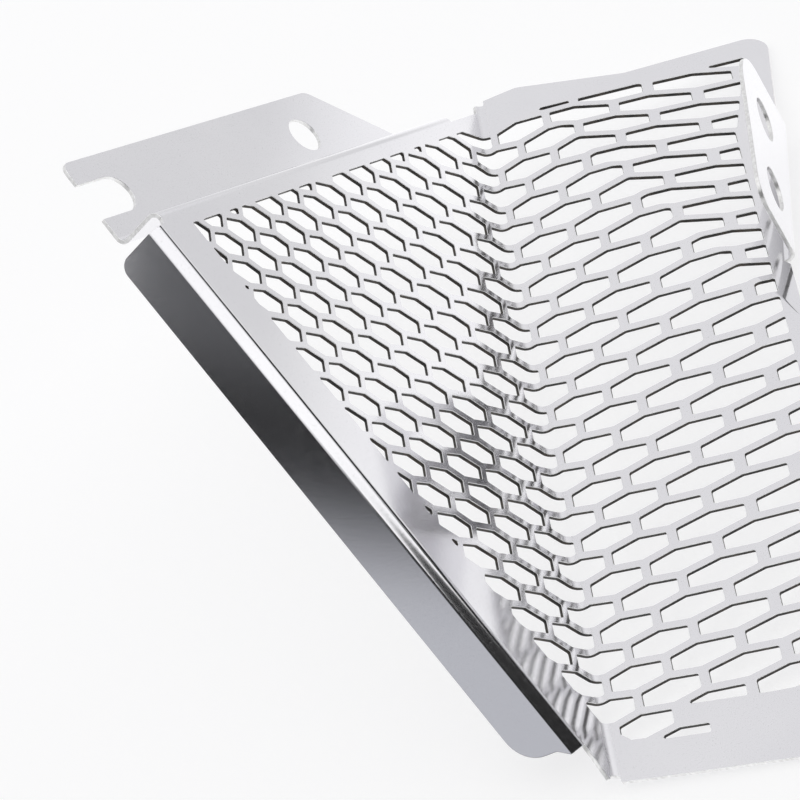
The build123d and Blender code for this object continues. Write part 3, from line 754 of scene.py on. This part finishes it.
def tableMaterial(look):
    material, field, shader, place = matteMaterial("table", look["colour"], 1.0)
    reach = field.node("ShaderNodeVectorMath", {"operation": "LENGTH"}, {0: place}, 1)
    cameraRay = field.node("ShaderNodeLightPath", {}, {}, 0)
    # painted pool of light: the glow fades with distance from the guard, and camera rays see the even level
    # instead
    glow = look["glow"] - look["fade"] * reach.between(look["fadeStart"], look["fadeEnd"])
    glow = glow + cameraRay * (look["seen"] - glow)
    wire(field, shader, "Emission Color", glow.blend((0, 0, 0, 1), (1, 1, 1, 1)))
    return material


flatCard("table", (0, 0, -tableLook["drop"]), (0, 0, 0), tableLook["size"], tableLook["size"],
         tableMaterial(tableLook))
world = bpy.data.worlds.new("studio")
world.use_nodes = True
world.node_tree.nodes["Background"].inputs["Color"].default_value = tableLook["world"]
world.node_tree.nodes["Background"].inputs["Strength"].default_value = tableLook["worldLevel"]
bpy.context.scene.world = world

# the studio is open and dark towards the camera, up to a slanting line and down to a rising one
frontLook = dict(radius=2.2, start=-141, end=33.5, steps=90, facing=-65, rise=1.86, edge=26.0,
                 lowLeft=15.0, lowRight=8.5, lowTurn=1.8, glow=0.012)


def frontCard(look):
    around = np.radians(np.linspace(look["start"], look["end"], look["steps"]))
    share = (around - around[0]) / (around[-1] - around[0])
    slant = look["rise"] * np.cos(around - math.radians(look["facing"]))
    high = np.maximum(slant, math.tan(math.radians(look["edge"])))
    fall = (look["lowRight"] - look["lowLeft"]) * np.clip(share * look["lowTurn"], 0, 1)
    low = np.tan(np.radians(look["lowLeft"] + fall))
    material = matteMaterial("frontCard", (0, 0, 0, 1), look["glow"])[0]
    return curvedCard("frontCard", around, look["radius"], low, high, material)


# a bright sheet overhead
overLook = dict(place=(0.127, -0.273, 1.5), turn=-65, deep=1.5, wide=4.2, glow=1.25)


def overCard(look):
    facing = (math.pi, 0, math.radians(look["turn"]))
    material = matteMaterial("overCard", (0, 0, 0, 1), look["glow"])[0]
    return flatCard("overCard", look["place"], facing, look["deep"], look["wide"], material)


# what the side flange mirrors: mid grey low down, black above it, paler again at the top
leftLook = dict(radius=2.1, around=-148, half=7.2, steps=24, low=9.0, high=24.5, tint=(0.97, 0.99, 1.05, 1),
                grey=0.61, greyEnd=(15.2, 17.8), topGrey=0.10, topStart=(18.6, 20.6))


def leftMaterial(look):
    material, field, shader, place = matteMaterial("leftCard", (0, 0, 0, 1), 1.0)
    height = field.node("ShaderNodeSeparateXYZ", {}, {"Vector": place}, 2)
    slope = height * (1 / look["radius"])
    climb = field.node("ShaderNodeMath", {"operation": "ARCTANGENT"}, {0: slope}) * math.degrees(1)
    glow = look["grey"] - look["grey"] * climb.between(*look["greyEnd"])
    glow = glow + look["topGrey"] * climb.between(*look["topStart"])
    wire(field, shader, "Emission Color", glow.blend((0, 0, 0, 1), look["tint"]))
    return material


def leftCard(look):
    around = np.radians(look["around"] + np.linspace(-look["half"], look["half"], look["steps"]))
    low, high = (np.full(len(around), math.tan(math.radians(look[end]))) for end in ("low", "high"))
    return curvedCard("leftCard", around, look["radius"], low, high, leftMaterial(look))


for made in (frontCard(frontLook), overCard(overLook), leftCard(leftLook)):
    made.visible_camera = False  # the cards light the guard and stand in no view
print("stage: studio")

# camera place in mm and its axes, in the sheet's own frame
shot = dict(place=(68.96, -570.36, 600.69),
            right=(0.90273, -0.12376, -0.41201), up=(0.36221, 0.73538, 0.57273),
            lens=163.2, sensor=36.0, nearest=0.01)
lens = bpy.data.cameras.new("camera")
lens.lens = shot["lens"]
lens.sensor_width = shot["sensor"]
lens.clip_start = shot["nearest"]
camera = bpy.data.objects.new("camera", lens)
right = Vector(turn @ np.array(shot["right"])).normalized()
up = Vector(turn @ np.array(shot["up"]))
up = (up - right * up.dot(right)).normalized()
basis = Matrix((right, up, right.cross(up))).transposed().to_4x4()
basis.translation = Vector((turn @ np.array(shot["place"]) + shift) / 1000)
camera.matrix_world = basis
bpy.context.scene.collection.objects.link(camera)
bpy.context.scene.camera = camera
bpy.context.scene.view_settings.view_transform = "Standard"
